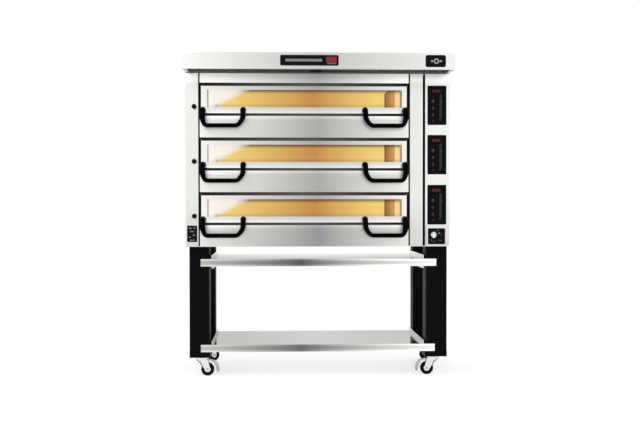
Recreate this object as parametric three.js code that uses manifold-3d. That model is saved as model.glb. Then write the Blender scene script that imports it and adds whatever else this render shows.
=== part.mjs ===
// Three-deck stone-hearth oven on an open castor stand, with a front extraction hood.
// Millimetres, +Z up, front toward -Y, left toward -X. Every mesh is one separate piece.
// Pieces are built with y = 0 on the body's front face and z = 0 on the floor;
// deck parts are built at the top deck and dropped to the others.
import * as THREE from "three";
import { mergeVertices } from "three/addons/utils/BufferGeometryUtils.js";
import Module from "manifold-3d";

// ---- shared dimensions --------------------------------------------------
const BODY_W = 1600; // width over the side panels
const HALF = BODY_W / 2;
const BODY_D = 970; // front face to rear panel
const BODY_Z0 = 796; // underside of the oven body
const BODY_Z1 = 1843; // top of the roof panel
const SHEET = 2; // stainless sheet thickness
const CLEAR = 0.3; // gap between neighbouring pieces
const OVERLAP = 1; // how far joined parts run into each other
const OVERCUT = 5; // how far a cutting solid runs past the surface it opens

const DECKS = 3;
const PITCH = 330; // deck to deck
const DECK_INDICES = Array.from({ length: DECKS }, (_, i) => i); // top deck first

const DOOR_X0 = -706;
const DOOR_X1 = 538;
const DOOR_Z0 = 1602; // top deck
const DOOR_Z1 = 1766;
const HOOD_REACH = 214; // overhang in front of the body

// Inside of the top baking chamber
const CHAMBER = { x0: -638, x1: 470, y1: 757, z0: 1572, z1: 1790 };
const LINER_T = 3;

// Damper knobs on the left column; the height is the top deck's
const KNOB_X = -747;
const KNOB_Z = 1641;
const SHAFT_R = 4; // shafts of all the knobs
const SHAFT_HOLE = { r: 4.8, sides: 14 };

// ---- solid helpers ------------------------------------------------------
const manifold = await Module();
manifold.setup();

// Turns a closed three.js geometry into a Manifold solid.
function solid(geometry) {
  const loose = geometry.index ? geometry.toNonIndexed() : geometry;
  const bare = new THREE.BufferGeometry();
  bare.setAttribute("position", loose.getAttribute("position"));
  const merged = mergeVertices(bare, 1e-3);
  const vertProperties = Float32Array.from(merged.attributes.position.array);
  const triVerts = Uint32Array.from(merged.index.array);
  const build = () =>
    new manifold.Manifold(new manifold.Mesh({ numProp: 3, vertProperties, triVerts }));
  const made = build();
  if (made.volume() > 0) return made;
  // the faces point inward, so reverse every triangle
  for (let i = 0; i < triVerts.length; i += 3)
    [triVerts[i + 1], triVerts[i + 2]] = [triVerts[i + 2], triVerts[i + 1]];
  return build();
}

// The two x ends may come in either order, which suits mirrored parts.
function box(x0, x1, y0, y1, z0, z1) {
  const block = new THREE.BoxGeometry(Math.abs(x1 - x0), y1 - y0, z1 - z0);
  return solid(block.translate((x0 + x1) / 2, (y0 + y1) / 2, (z0 + z1) / 2));
}

const join = (...parts) => parts.reduce((a, b) => a.add(b));
const cut = (from, ...tools) => tools.reduce((a, b) => a.subtract(b), from);
const toDeck = (body, deck) => body.translate([0, 0, -deck * PITCH]);

// A cylinder whose axis runs along Y.
function rodY(x, z, radius, y0, y1, sides) {
  const rod = new THREE.CylinderGeometry(radius, radius, y1 - y0, sides);
  return solid(rod.translate(x, (y0 + y1) / 2, z));
}

// A cylinder on the Z axis.
function rodZ(radius, z0, z1, sides) {
  const rod = new THREE.CylinderGeometry(radius, radius, z1 - z0, sides);
  return solid(rod.rotateX(Math.PI / 2).translate(0, 0, (z0 + z1) / 2));
}

function extrude(outline, depth) {
  const shape = new THREE.Shape(outline.map(([x, y]) => new THREE.Vector2(x, y)));
  return new THREE.ExtrudeGeometry(shape, { depth, bevelEnabled: false });
}

// A plate seen from the front: an (x, z) outline from y0 to y1.
const plateY = (outline, y0, y1) =>
  solid(extrude(outline, y1 - y0).rotateX(Math.PI / 2).translate(0, y1, 0));

// A vertical prism: an (x, y) outline from z0 to z1.
const prismZ = (outline, z0, z1) => solid(extrude(outline, z1 - z0).translate(0, 0, z0));

function roundedRect(x0, x1, y0, y1, radius, steps) {
  // corner centre x, y, and the angle at which its arc starts
  const corners = [
    [x1 - radius, y0 + radius, -90],
    [x1 - radius, y1 - radius, 0],
    [x0 + radius, y1 - radius, 90],
    [x0 + radius, y0 + radius, 180],
  ];
  return corners.flatMap(([x, y, start]) =>
    Array.from({ length: steps + 1 }, (_, i) => {
      const angle = ((start + (90 * i) / steps) * Math.PI) / 180;
      return [x + radius * Math.cos(angle), y + radius * Math.sin(angle)];
    }),
  );
}

// A round bar bent along straight runs with filleted corners.
function bentBar(points, { radius, fillet, steps, sides }) {
  const corners = points.map((point) => new THREE.Vector3(...point));
  const path = new THREE.CurvePath();
  let from = corners[0];
  for (let i = 1; i < corners.length - 1; i++) {
    const corner = corners[i];
    const before = corners[i - 1].clone().sub(corner);
    const after = corners[i + 1].clone().sub(corner);
    const reach = Math.min(fillet, before.length() * 0.45, after.length() * 0.45);
    const start = corner.clone().addScaledVector(before.normalize(), reach);
    const end = corner.clone().addScaledVector(after.normalize(), reach);
    path.add(new THREE.LineCurve3(from, start));
    path.add(new THREE.QuadraticBezierCurve3(start, corner, end));
    from = end;
  }
  path.add(new THREE.LineCurve3(from, corners[corners.length - 1]));
  const section = Array.from({ length: sides }, (_, i) => {
    const angle = (2 * Math.PI * i) / sides;
    return new THREE.Vector2(radius * Math.cos(angle), radius * Math.sin(angle));
  });
  const options = { steps, extrudePath: path, bevelEnabled: false };
  return solid(new THREE.ExtrudeGeometry(new THREE.Shape(section), options));
}

// ---- finishes -----------------------------------------------------------
const METAL = { metalness: 0.85, roughness: 0.35 };
const DULL = { metalness: 0.05, roughness: 0.6 };
const FINISHES = {
  stainless: { color: 0xd4d3cf, ...METAL },
  polished: { color: 0xe6e6e4, ...METAL },
  black: { color: 0x161512, ...DULL },
  handle: { color: 0x0c0c0c, ...DULL },
  glass: { color: 0xd9c9a5, ...DULL, transparent: true, opacity: 0.4 },
  liner: { color: 0xc98a4a, ...METAL },
  stone: { color: 0xcdb892, ...DULL },
  wool: { color: 0xd8c98a, ...DULL },
  element: { color: 0x6d6a68, ...METAL },
  fork: { color: 0xbfc1c2, ...METAL },
  tyre: { color: 0x1b1b1b, ...DULL },
  pad: { color: 0x101010, ...DULL },
  knob: { color: 0xc9d2cc, ...DULL },
};

const oven = new THREE.Group();
oven.name = "deck_oven";

function addPiece(name, body, finish) {
  const { vertProperties, triVerts } = body.getMesh();
  const geometry = new THREE.BufferGeometry();
  const positions = Float32Array.from(vertProperties);
  geometry.setAttribute("position", new THREE.BufferAttribute(positions, 3));
  geometry.setIndex(new THREE.BufferAttribute(Uint32Array.from(triVerts), 1));
  geometry.computeVertexNormals();
  const material = new THREE.MeshStandardMaterial({ ...FINISHES[finish], flatShading: true });
  const mesh = new THREE.Mesh(geometry, material);
  mesh.name = name;
  oven.add(mesh);
}

// ---- outer shell --------------------------------------------------------
const SIDE_RETURN = 30; // front returns beside the side panels reach back to this y
const INNER_X = HALF - SHEET - CLEAR; // panels that fit between the side panels
const INNER_Y = [SHEET + CLEAR, BODY_D - SHEET - CLEAR];
const BASE_T = 3;
const SIDE_SLOTS = { y: [120, 280], rows: [900, 1620], count: 6, step: 24, height: 6 };
const REAR_SLOTS = { x: [600, 760], z: 900, count: 5, step: 26, height: 7 };
// Round holes in the rear panel: x, z, radius
const REAR_HOLES = [
  [-520, 1640, 30],
  [0, 1640, 30],
  [690, 1700, 22],
];

const slotRow = (x0, x1, y0, y1, z0, { count, step, height }) =>
  Array.from({ length: count }, (_, i) =>
    box(x0, x1, y0, y1, z0 + i * step, z0 + i * step + height),
  );

const sidePanel = (x0, x1) => box(x0, x1, SIDE_RETURN + CLEAR, BODY_D, BODY_Z0, BODY_Z1);

function slottedSidePanel() {
  const { y, rows } = SIDE_SLOTS;
  const slots = rows.flatMap((z) =>
    slotRow(HALF - OVERCUT, HALF + OVERCUT, ...y, z, SIDE_SLOTS),
  );
  return cut(sidePanel(HALF - SHEET, HALF), ...slots);
}

function rearPanel() {
  const through = [BODY_D - OVERCUT, BODY_D + OVERCUT];
  return cut(
    box(-INNER_X, INNER_X, BODY_D - SHEET, BODY_D, BODY_Z0, BODY_Z1),
    ...slotRow(...REAR_SLOTS.x, ...through, REAR_SLOTS.z, REAR_SLOTS),
    ...REAR_HOLES.map(([x, z, radius]) => rodY(x, z, radius, ...through, 16)),
  );
}

addPiece("left_side_panel", sidePanel(-HALF, -HALF + SHEET), "stainless");
addPiece("right_side_panel", slottedSidePanel(), "stainless");
addPiece("rear_panel", rearPanel(), "stainless");
const roofPanel = box(-INNER_X, INNER_X, ...INNER_Y, BODY_Z1 - SHEET, BODY_Z1);
addPiece("roof_panel", roofPanel, "stainless");
const basePan = box(-INNER_X, INNER_X, ...INNER_Y, BODY_Z0, BODY_Z0 + BASE_T);
addPiece("base_pan", basePan, "stainless");

// ---- front columns and panels -------------------------------------------
const FOLD = 0.4; // how far a folded return sits inside the face edge
const RETURN_Z0 = BODY_Z0 + 6;
const RETURN_Z1 = BODY_Z1 - 5;
const COLUMN_X1 = -723; // left column, right edge
const FILLER_X0 = 558.5;
const FILLER_X1 = 636;
const DOOR_RETURN = 32; // column returns beside the doors reach back to this y
const FILLER_RETURN = 58; // filler's right return
const CABINET_X0 = 651;
const CABINET_D = 420;
const CABINET_BACK_GAP = 8; // rear wall's right end to the side of the body

const PANEL_X0 = -714; // panels above and below the doors
const PANEL_X1 = 549.5;
const PANEL_RETURN = 26;
const PANEL_ABOVE = 20; // door top edge to the panel above
const PANEL_BELOW = 16; // door lower edge to the panel below

const PAD_X = [665, 780];
// Control panel lower and upper edge, top deck first
const PAD_Z = [
  [1534, 1772],
  [1234, 1473],
  [929, 1170],
];
// Opening behind each control panel; bottom and top are insets from its edges
const PAD_OPENING = { x0: 694.3, x1: 751.7, bottom: 45.4, top: 44.8 };
const SWITCH_OUT = 10; // raised switch surround, in front of the face
const SWITCH_SURROUND = roundedRect(657, 797, 799, 924, 21, 4);
const SWITCH_WELL = roundedRect(667, 773, 808, 907, 8, 3);
const SWITCH_WELL_Y = -2; // floor of the well
const SWITCH_X = 703;
const SWITCH_Z = 866;

const face = (x0, x1, z0, z1) => box(x0, x1, 0, SHEET, z0, z1);
const sideReturn = (x, depth) => box(x, x + SHEET, OVERLAP, depth, RETURN_Z0, RETURN_Z1);
const leftReturn = (edge, depth) => sideReturn(edge + FOLD, depth);
const rightReturn = (edge, depth) => sideReturn(edge - FOLD - SHEET, depth);
const shaftHole = (x, z) =>
  rodY(x, z, SHAFT_HOLE.r, -OVERCUT, SHEET + OVERCUT, SHAFT_HOLE.sides);

const leftFrontColumn = () =>
  cut(
    join(
      face(-HALF, COLUMN_X1, BODY_Z0, BODY_Z1),
      leftReturn(-HALF, SIDE_RETURN),
      rightReturn(COLUMN_X1, DOOR_RETURN),
    ),
    ...DECK_INDICES.map((deck) => toDeck(shaftHole(KNOB_X, KNOB_Z), deck)),
  );

const rightFillerColumn = () =>
  join(
    face(FILLER_X0, FILLER_X1, BODY_Z0, BODY_Z1),
    leftReturn(FILLER_X0, DOOR_RETURN),
    rightReturn(FILLER_X1, FILLER_RETURN),
  );

// Folded enclosure for the controls, open on the side the side panel closes.
function controlCabinet() {
  const rearWall = box(
    CABINET_X0 + OVERLAP,
    HALF - CABINET_BACK_GAP,
    CABINET_D - SHEET / 2,
    CABINET_D + SHEET / 2,
    RETURN_Z0 + 0.5,
    RETURN_Z1 - 0.5,
  );
  const { x0, x1, bottom, top } = PAD_OPENING;
  return cut(
    join(
      face(CABINET_X0, HALF, BODY_Z0, BODY_Z1),
      rightReturn(HALF, SIDE_RETURN),
      leftReturn(CABINET_X0, CABINET_D),
      rearWall,
      plateY(SWITCH_SURROUND, -SWITCH_OUT, OVERLAP),
    ),
    plateY(SWITCH_WELL, -SWITCH_OUT - OVERCUT, SWITCH_WELL_Y),
    shaftHole(SWITCH_X, SWITCH_Z),
    ...PAD_Z.map(([z0, z1]) =>
      box(x0, x1, -OVERCUT, SHEET + OVERCUT, z0 + bottom, z1 - top),
    ),
  );
}

const panelFace = (z0, z1) => face(PANEL_X0, PANEL_X1, z0, z1);
const panelReturn = (z) =>
  box(PANEL_X0 + OVERLAP, PANEL_X1 - OVERLAP, OVERLAP, PANEL_RETURN, z, z + SHEET);

function fasciaPanel() {
  const bottom = DOOR_Z1 + PANEL_ABOVE;
  return join(panelFace(bottom, BODY_Z1), panelReturn(bottom + FOLD));
}

// The panel below a door; the lowest one runs to the underside of the body.
function lowerFrontPanel(deck) {
  const top = DOOR_Z0 - PANEL_BELOW - deck * PITCH;
  const topReturn = panelReturn(top - FOLD - SHEET);
  if (deck === DECKS - 1) return join(panelFace(BODY_Z0, top), topReturn);
  const bottom = DOOR_Z1 + PANEL_ABOVE - (deck + 1) * PITCH;
  return join(panelFace(bottom, top), topReturn, panelReturn(bottom + FOLD));
}

addPiece("left_front_column", leftFrontColumn(), "stainless");
addPiece("right_filler_column", rightFillerColumn(), "stainless");
addPiece("control_cabinet", controlCabinet(), "stainless");
addPiece("fascia_panel", fasciaPanel(), "stainless");
for (const deck of DECK_INDICES)
  addPiece(`lower_front_panel_${deck + 1}`, lowerFrontPanel(deck), "stainless");

// ---- extraction hood ----------------------------------------------------
const HOOD_Z0 = 1846;
const HOOD_Z1 = 1943;
const HOOD_BACK = 420; // rear wall of the hood
const HOOD_LIP = 22; // return lip round the front and sides of the mouth
const HOOD_MOUTH_Y1 = -14; // rear edge of the mouth
const FLUE_R = 44; // steam outlet in the rear wall
const FLUE_L = 40;

// Hollow box with a mouth underneath and a pipe out of the back.
function hood() {
  const innerX = HALF - SHEET;
  const mouthX = HALF - HOOD_LIP;
  const front = -HOOD_REACH;
  const flueZ = (HOOD_Z0 + HOOD_Z1) / 2;
  const flueEnd = HOOD_BACK + FLUE_L;
  const outside = box(-HALF, HALF, front, HOOD_BACK, HOOD_Z0, HOOD_Z1);
  const inside = box(
    -innerX,
    innerX,
    front + SHEET,
    HOOD_BACK - SHEET,
    HOOD_Z0 + SHEET,
    HOOD_Z1 - SHEET,
  );
  const mouth = box(
    -mouthX,
    mouthX,
    front + HOOD_LIP,
    HOOD_MOUTH_Y1,
    HOOD_Z0 - OVERCUT,
    HOOD_Z0 + OVERCUT,
  );
  const flue = rodY(0, flueZ, FLUE_R, HOOD_BACK - OVERLAP, flueEnd, 24);
  const bore = rodY(0, flueZ, FLUE_R - SHEET, HOOD_BACK - OVERCUT, flueEnd + OVERCUT, 24);
  return cut(join(cut(outside, inside, mouth), flue), bore);
}

addPiece("hood", hood(), "stainless");

// ---- baking chambers ----------------------------------------------------
const MOUTH_Z0 = 1604; // chamber mouth, top deck
const MOUTH_Z1 = 1760;
const FLANGE_Y = 34; // door seat plane
const FLANGE_PAST = { left: 15, right: 9, ends: 10 }; // past the door, and above and below
const STONE_Z0 = 1584;
const STONE_T = 22;
const STONE_GAP = 2;
const ELEMENT = {
  half: 3.5, // half the rod's square section
  floorGap: 2.5,
  wallGap: 60, // chamber side wall to the end of a run
  y0: 130, // first run
  pitch: 104, // run to run
  runs: 6,
};
const WOOL = { x0: -792, x1: 632, y0: 62, y1: 950, endGap: 5 };
const WOOL_GAP = 1; // insulation to liner

function chamberLiner() {
  const { x0, x1, y1, z0, z1 } = CHAMBER;
  const seatBack = FLANGE_Y + LINER_T;
  const shell = box(
    x0 - LINER_T,
    x1 + LINER_T,
    FLANGE_Y,
    y1 + LINER_T,
    z0 - LINER_T,
    z1 + LINER_T,
  );
  const flange = box(
    DOOR_X0 - FLANGE_PAST.left,
    DOOR_X1 + FLANGE_PAST.right,
    FLANGE_Y,
    seatBack,
    z0 - FLANGE_PAST.ends,
    z1 + FLANGE_PAST.ends,
  );
  return cut(
    join(shell, flange),
    box(x0, x1, seatBack, y1, z0, z1),
    box(x0, x1, FLANGE_Y - OVERCUT, FLANGE_Y + OVERCUT, MOUTH_Z0, MOUTH_Z1),
  );
}

const hearthStone = () =>
  box(
    CHAMBER.x0 + STONE_GAP,
    CHAMBER.x1 - STONE_GAP,
    FLANGE_Y + LINER_T + STONE_GAP,
    CHAMBER.y1 - STONE_GAP,
    STONE_Z0,
    STONE_Z0 + STONE_T,
  );

// One looped rod of square section between the liner floor and the stone.
function heatingElement() {
  const { half, floorGap, wallGap, y0, pitch, runs } = ELEMENT;
  const left = CHAMBER.x0 + wallGap;
  const right = CHAMBER.x1 - wallGap;
  const z0 = CHAMBER.z0 + floorGap;
  const bar = (xa, xb, ya, yb) =>
    box(xa - half, xb + half, ya - half, yb + half, z0, z0 + 2 * half);
  const parts = [];
  for (let i = 0; i < runs; i++) {
    const y = y0 + i * pitch;
    parts.push(bar(left, right, y, y));
    // link to the next run, at the right after even runs and at the left after odd ones
    const x = i % 2 ? left : right;
    if (i < runs - 1) parts.push(bar(x, x, y, y + pitch));
  }
  return join(...parts);
}

function insulationBlock() {
  const { x0, x1, y0, y1, endGap } = WOOL;
  const gap = LINER_T + WOOL_GAP;
  const cavity = box(
    CHAMBER.x0 - gap,
    CHAMBER.x1 + gap,
    y0 - OVERCUT,
    CHAMBER.y1 + gap,
    CHAMBER.z0 - gap,
    CHAMBER.z1 + gap,
  );
  return cut(
    box(x0, x1, y0, y1, BODY_Z0 + endGap, BODY_Z1 - endGap),
    ...DECK_INDICES.map((deck) => toDeck(cavity, deck)),
  );
}

for (const deck of DECK_INDICES) {
  addPiece(`chamber_liner_${deck + 1}`, toDeck(chamberLiner(), deck), "liner");
  addPiece(`hearth_stone_${deck + 1}`, toDeck(hearthStone(), deck), "stone");
  addPiece(`heating_element_${deck + 1}`, toDeck(heatingElement(), deck), "element");
}
addPiece("insulation_block", insulationBlock(), "wool");

// ---- doors --------------------------------------------------------------
const DOOR_FRONT = -2; // leaf front face
const DOOR_BACK = DOOR_FRONT + 32;
const WINDOW = { x0: -670, x1: 509, z0: 1638, z1: 1743 };
const REBATE = 10; // glass rebate beyond the window edge
const REBATE_Y = DOOR_FRONT + 6;
const GLASS_T = 5;
const GLASS_GAP = 0.5; // glass edge to rebate edge

const HANDLE_TUBE = { radius: 14, fillet: 16, steps: 26, sides: 8 };
const HANDLE_OUT = 72; // bar centre in front of the body face
const HANDLE_BAR_Z = 1525; // top deck
const HANDLE_FOOT_Z = 1622; // feet on the bottom rail, top deck
const HANDLE_LEGS = { outer: 611, inner: 368.5 }; // distances from the door centre line
const HANDLE_BAR_IN = { outer: 14, inner: 31 }; // how far the bar ends sit inside the legs
// Leg bends: y behind the bar, and z below the foot or above the bar
const HANDLE_UPPER_BEND = { back: 16, drop: 4 };
const HANDLE_LOWER_BEND = { back: 4, rise: 42 };
const HANDLE_FOOT = { radius: 15, thickness: 7, sides: 12 };
const HANDLE_FOOT_GRIP = 3; // tube end in front of the foot's rear face

const windowBlock = (margin, y0, y1) =>
  box(
    WINDOW.x0 - margin,
    WINDOW.x1 + margin,
    y0,
    y1,
    WINDOW.z0 - margin,
    WINDOW.z1 + margin,
  );

const doorFrame = () =>
  cut(
    box(DOOR_X0, DOOR_X1, DOOR_FRONT, DOOR_BACK, DOOR_Z0, DOOR_Z1),
    windowBlock(0, DOOR_FRONT - OVERCUT, DOOR_BACK + OVERCUT),
    windowBlock(REBATE, REBATE_Y, DOOR_BACK + OVERCUT),
  );

const doorGlass = () =>
  windowBlock(REBATE - GLASS_GAP, REBATE_Y + CLEAR, REBATE_Y + CLEAR + GLASS_T);

// A U-shaped handle hanging below its two feet; side is -1 left, 1 right.
function doorHandle(side) {
  const middle = (DOOR_X0 + DOOR_X1) / 2;
  const outer = middle + side * HANDLE_LEGS.outer;
  const inner = middle + side * HANDLE_LEGS.inner;
  const seat = DOOR_FRONT - CLEAR;
  const leg = (x) => [
    [x, seat - HANDLE_FOOT_GRIP, HANDLE_FOOT_Z],
    [x, -HANDLE_OUT + HANDLE_UPPER_BEND.back, HANDLE_FOOT_Z - HANDLE_UPPER_BEND.drop],
    [x, -HANDLE_OUT + HANDLE_LOWER_BEND.back, HANDLE_BAR_Z + HANDLE_LOWER_BEND.rise],
  ];
  const path = [
    ...leg(outer),
    [outer - side * HANDLE_BAR_IN.outer, -HANDLE_OUT, HANDLE_BAR_Z],
    [inner + side * HANDLE_BAR_IN.inner, -HANDLE_OUT, HANDLE_BAR_Z],
    ...leg(inner).reverse(),
  ];
  const { radius, thickness, sides } = HANDLE_FOOT;
  const foot = (x) => rodY(x, HANDLE_FOOT_Z, radius, seat - thickness, seat, sides);
  return join(bentBar(path, HANDLE_TUBE), foot(outer), foot(inner));
}

for (const deck of DECK_INDICES) {
  const number = deck + 1;
  addPiece(`door_frame_${number}`, toDeck(doorFrame(), deck), "stainless");
  addPiece(`door_glass_${number}`, toDeck(doorGlass(), deck), "glass");
  addPiece(`door_handle_left_${number}`, toDeck(doorHandle(-1), deck), "handle");
  addPiece(`door_handle_right_${number}`, toDeck(doorHandle(1), deck), "handle");
}

// ---- stand --------------------------------------------------------------
const LEG_IN = 660; // leg inner face from the centre line
const LEG_D = 150;
const LEG_Y = { front: 45, rear: 740 }; // front face of each leg
const LEG_WALL = 4;
const LEG_CAP = 8 - CLEAR; // solid top of a leg
const RAIL_IN = 656; // base rail inner face
const RAIL_WALL = 4;
const RAIL_PAST = 2; // rail ends past the legs
const RAIL_SOLID = 20; // solid rail beyond each leg, toward the middle
const RAIL_Z0 = 118;
const RAIL_Z1 = RAIL_Z0 + 38;
// Mirror sign and outer face of the legs
const SIDES = {
  left: { sign: -1, legOut: 782 },
  right: { sign: 1, legOut: 791 },
};

const SHELF_HALF = 647; // tray half width between the legs
const SHELF_Y0 = LEG_Y.front - 5;
const SHELF_Y1 = 850;
const SHELF_LIP = 44; // front lip height
const SHELF_UP = 24; // side upstands
const SHELF_SKIRT = 56; // side skirts, down from the surface
const SHELF_FOOT = { width: 12, setback: 6 }; // inward fold under each skirt
// Surface height and the two x ends of the front lip
const SHELVES = {
  upper_shelf: { top: 719, lip: [-713, 725] },
  lower_shelf: { top: 197, lip: [-713, 716] },
};

// Channel, open underneath between the legs.
function baseRail({ sign, legOut }) {
  const y0 = LEG_Y.front - RAIL_PAST;
  const y1 = LEG_Y.rear + LEG_D + RAIL_PAST;
  return cut(
    box(sign * RAIL_IN, sign * legOut, y0, y1, RAIL_Z0, RAIL_Z1),
    box(
      sign * (RAIL_IN + RAIL_WALL),
      sign * (legOut - RAIL_WALL),
      LEG_Y.front + LEG_D + RAIL_SOLID,
      LEG_Y.rear - RAIL_SOLID,
      RAIL_Z0 - OVERCUT,
      RAIL_Z1 - RAIL_WALL,
    ),
  );
}

// Rounded box section, open at the bottom.
function leg({ sign, legOut }, y0) {
  const [x0, x1] = [sign * LEG_IN, sign * legOut].sort((a, b) => a - b);
  const top = BODY_Z0 - CLEAR;
  return cut(
    prismZ(roundedRect(x0, x1, y0, y0 + LEG_D, 6, 2), RAIL_Z1 + CLEAR, top),
    box(
      x0 + LEG_WALL,
      x1 - LEG_WALL,
      y0 + LEG_WALL,
      y0 + LEG_D - LEG_WALL,
      RAIL_Z1 - OVERCUT,
      top - LEG_CAP,
    ),
  );
}

function shelf({ top, lip }) {
  // the lower shelf's skirts stop at the base rail tops
  const low = Math.max(top - SHELF_SKIRT, RAIL_Z1 + CLEAR);
  const { width, setback } = SHELF_FOOT;
  const sideParts = [-1, 1].flatMap((sign) => {
    const edge = sign * SHELF_HALF;
    const skin = sign * (SHELF_HALF - SHEET);
    const foot = sign * (SHELF_HALF - width);
    return [
      box(edge, skin, SHELF_Y0, SHELF_Y1, low, top + SHELF_UP),
      box(edge, foot, SHELF_Y0 + setback, SHELF_Y1, low, low + SHEET),
    ];
  });
  return join(
    box(-SHELF_HALF, SHELF_HALF, SHELF_Y0, SHELF_Y1, top - SHEET, top),
    box(...lip, SHELF_Y0, SHELF_Y0 + SHEET, top - SHELF_LIP, top),
    ...sideParts,
  );
}

for (const [side, spec] of Object.entries(SIDES)) {
  addPiece(`base_rail_${side}`, baseRail(spec), "black");
  for (const [row, y0] of Object.entries(LEG_Y))
    addPiece(`leg_${row}_${side}`, leg(spec, y0), "black");
}
for (const [name, spec] of Object.entries(SHELVES)) addPiece(name, shelf(spec), "polished");

// ---- castors ------------------------------------------------------------
// Built with the swivel axis on x = y = 0. Outlines are (reach, z), where reach
// runs from the swivel axis toward the middle of the oven.
const CASTOR_X = 716;
// Swivel y, and degrees swung rearward
const CASTOR_ROWS = {
  front: { y: 120, turn: { left: 0, right: 0 } },
  rear: { y: 815, turn: { left: 20, right: 165 } },
};
const CASTOR_TRAIL = 40; // swivel axis to wheel axle
const WHEEL_R = 40;
const WHEEL_W = 28;
const FORK_Y = 21; // outer face of the fork cheeks
const CHEEK_T = 4;
const FORK_Z1 = 112;
const CROWN = { reach: [-30, 34], z0: 105 };
const SWIVEL = { radius: 34, z0: 104, neckRadius: 26 };
const AXLE = { radius: 6, half: 24 };
const PEDAL_HALF = 14;
const CHEEK_OUTLINE = [
  [-30, 112], [-30, 102], [-6, 84], [14, 52], [28, 30], [36, 24],
  [46, 24], [54, 32], [55, 46], [47, 78], [36, 104], [34, 112],
];
const PEDAL_OUTLINE = [
  [30, 101], [56, 101], [86, 92], [104, 72], [112, 46], [110, 26],
  [100, 22], [94, 40], [88, 62], [78, 80], [54, 93], [30, 95],
];
// Wheel section: radius, distance along the axle
const WHEEL_PROFILE = [
  [6.6, -15], [13, -15], [14, -7], [27, -WHEEL_W / 2], [36, -WHEEL_W / 2],
  [WHEEL_R, -9], [WHEEL_R, 9], [36, WHEEL_W / 2], [27, WHEEL_W / 2],
  [14, 7], [13, 15], [6.6, 15], [6.6, -15],
];

const facing = (outline, sign) => outline.map(([reach, z]) => [-sign * reach, z]);

function castorFork(sign) {
  const cheek = facing(CHEEK_OUTLINE, sign);
  const [crownOut, crownIn] = CROWN.reach.map((reach) => -sign * reach);
  const axleX = -sign * CASTOR_TRAIL;
  return join(
    rodZ(SWIVEL.radius, SWIVEL.z0, FORK_Z1, 16),
    rodZ(SWIVEL.neckRadius, FORK_Z1 - OVERLAP, RAIL_Z0 - CLEAR, 16),
    box(crownOut, crownIn, -FORK_Y, FORK_Y, CROWN.z0, FORK_Z1),
    plateY(cheek, -FORK_Y, -FORK_Y + CHEEK_T),
    plateY(cheek, FORK_Y - CHEEK_T, FORK_Y),
    rodY(axleX, WHEEL_R, AXLE.radius, -AXLE.half, AXLE.half, 12),
  );
}

function castorWheel(sign) {
  const profile = WHEEL_PROFILE.map(([radius, along]) => new THREE.Vector2(radius, along));
  const wheel = new THREE.LatheGeometry(profile, 20);
  return solid(wheel.translate(-sign * CASTOR_TRAIL, 0, WHEEL_R));
}

const brakePedal = (sign) => plateY(facing(PEDAL_OUTLINE, sign), -PEDAL_HALF, PEDAL_HALF);

for (const [row, { y, turn }] of Object.entries(CASTOR_ROWS))
  for (const [side, { sign }] of Object.entries(SIDES)) {
    const place = (body) =>
      body.rotate([0, 0, -sign * turn[side]]).translate([sign * CASTOR_X, y, 0]);
    addPiece(`castor_fork_${row}_${side}`, place(castorFork(sign)), "fork");
    addPiece(`castor_wheel_${row}_${side}`, place(castorWheel(sign)), "tyre");
    if (row === "front") addPiece(`brake_pedal_${side}`, place(brakePedal(sign)), "tyre");
  }

// ---- controls -----------------------------------------------------------
const controlPanel = ([z0, z1]) => plateY(roundedRect(...PAD_X, z0, z1, 5, 2), -3, -CLEAR);

// Grip, collar and a long shaft through the column.
const damperKnob = () =>
  join(
    rodY(KNOB_X, KNOB_Z, 14.5, -25, -9, 16),
    rodY(KNOB_X, KNOB_Z, 8, -10, -1.5, 12),
    rodY(KNOB_X, KNOB_Z, SHAFT_R, -2, 52, 12),
  );

// Disc in the well, upright grip bar and shaft.
const mainSwitchKnob = () =>
  join(
    rodY(SWITCH_X, SWITCH_Z, 17, -11, -3, 20),
    box(SWITCH_X - 6, SWITCH_X + 6, -26, -10, SWITCH_Z - 18, SWITCH_Z + 18),
    rodY(SWITCH_X, SWITCH_Z, SHAFT_R, -4, 24, 12),
  );

for (const deck of DECK_INDICES) {
  addPiece(`control_panel_${deck + 1}`, controlPanel(PAD_Z[deck]), "pad");
  addPiece(`damper_knob_${deck + 1}`, toDeck(damperKnob(), deck), "handle");
}
addPiece("main_switch_knob", mainSwitchKnob(), "knob");

// Origin on the floor, midway between the hood front and the rear panel.
oven.position.y = -(BODY_D - HOOD_REACH) / 2;
export default oven;
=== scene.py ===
"""A three-deck hearth oven with a hood, on a black stand with two shelves and castors.

It stands on z = 0 and faces -Y, with X to its right. Lengths are in millimetres and y is
counted from the body's front face, unless a comment says otherwise.
"""
import math
from functools import cached_property

import bmesh
import bpy
from mathutils import Matrix, Vector


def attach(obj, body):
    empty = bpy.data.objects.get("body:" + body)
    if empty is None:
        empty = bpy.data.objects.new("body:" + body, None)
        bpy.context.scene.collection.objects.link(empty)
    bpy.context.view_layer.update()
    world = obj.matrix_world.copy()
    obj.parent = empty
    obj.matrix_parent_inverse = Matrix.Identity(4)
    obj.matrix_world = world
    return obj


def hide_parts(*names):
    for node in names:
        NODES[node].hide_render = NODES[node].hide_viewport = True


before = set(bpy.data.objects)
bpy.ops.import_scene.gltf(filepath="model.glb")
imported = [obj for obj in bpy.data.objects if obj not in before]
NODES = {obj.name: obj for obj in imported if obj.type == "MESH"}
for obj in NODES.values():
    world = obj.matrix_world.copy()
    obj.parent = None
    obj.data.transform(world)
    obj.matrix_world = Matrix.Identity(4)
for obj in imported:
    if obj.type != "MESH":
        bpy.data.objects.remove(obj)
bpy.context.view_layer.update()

BODY_FRONT_Y = -0.378  # metres, in the frame

# the decks are numbered from the top, each with its height against the first
DECK_PITCH = 330
DECKS = [(deck, -DECK_PITCH * (deck - 1)) for deck in (1, 2, 3)]
SIDES = (("left", -1), ("right", 1))

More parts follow.
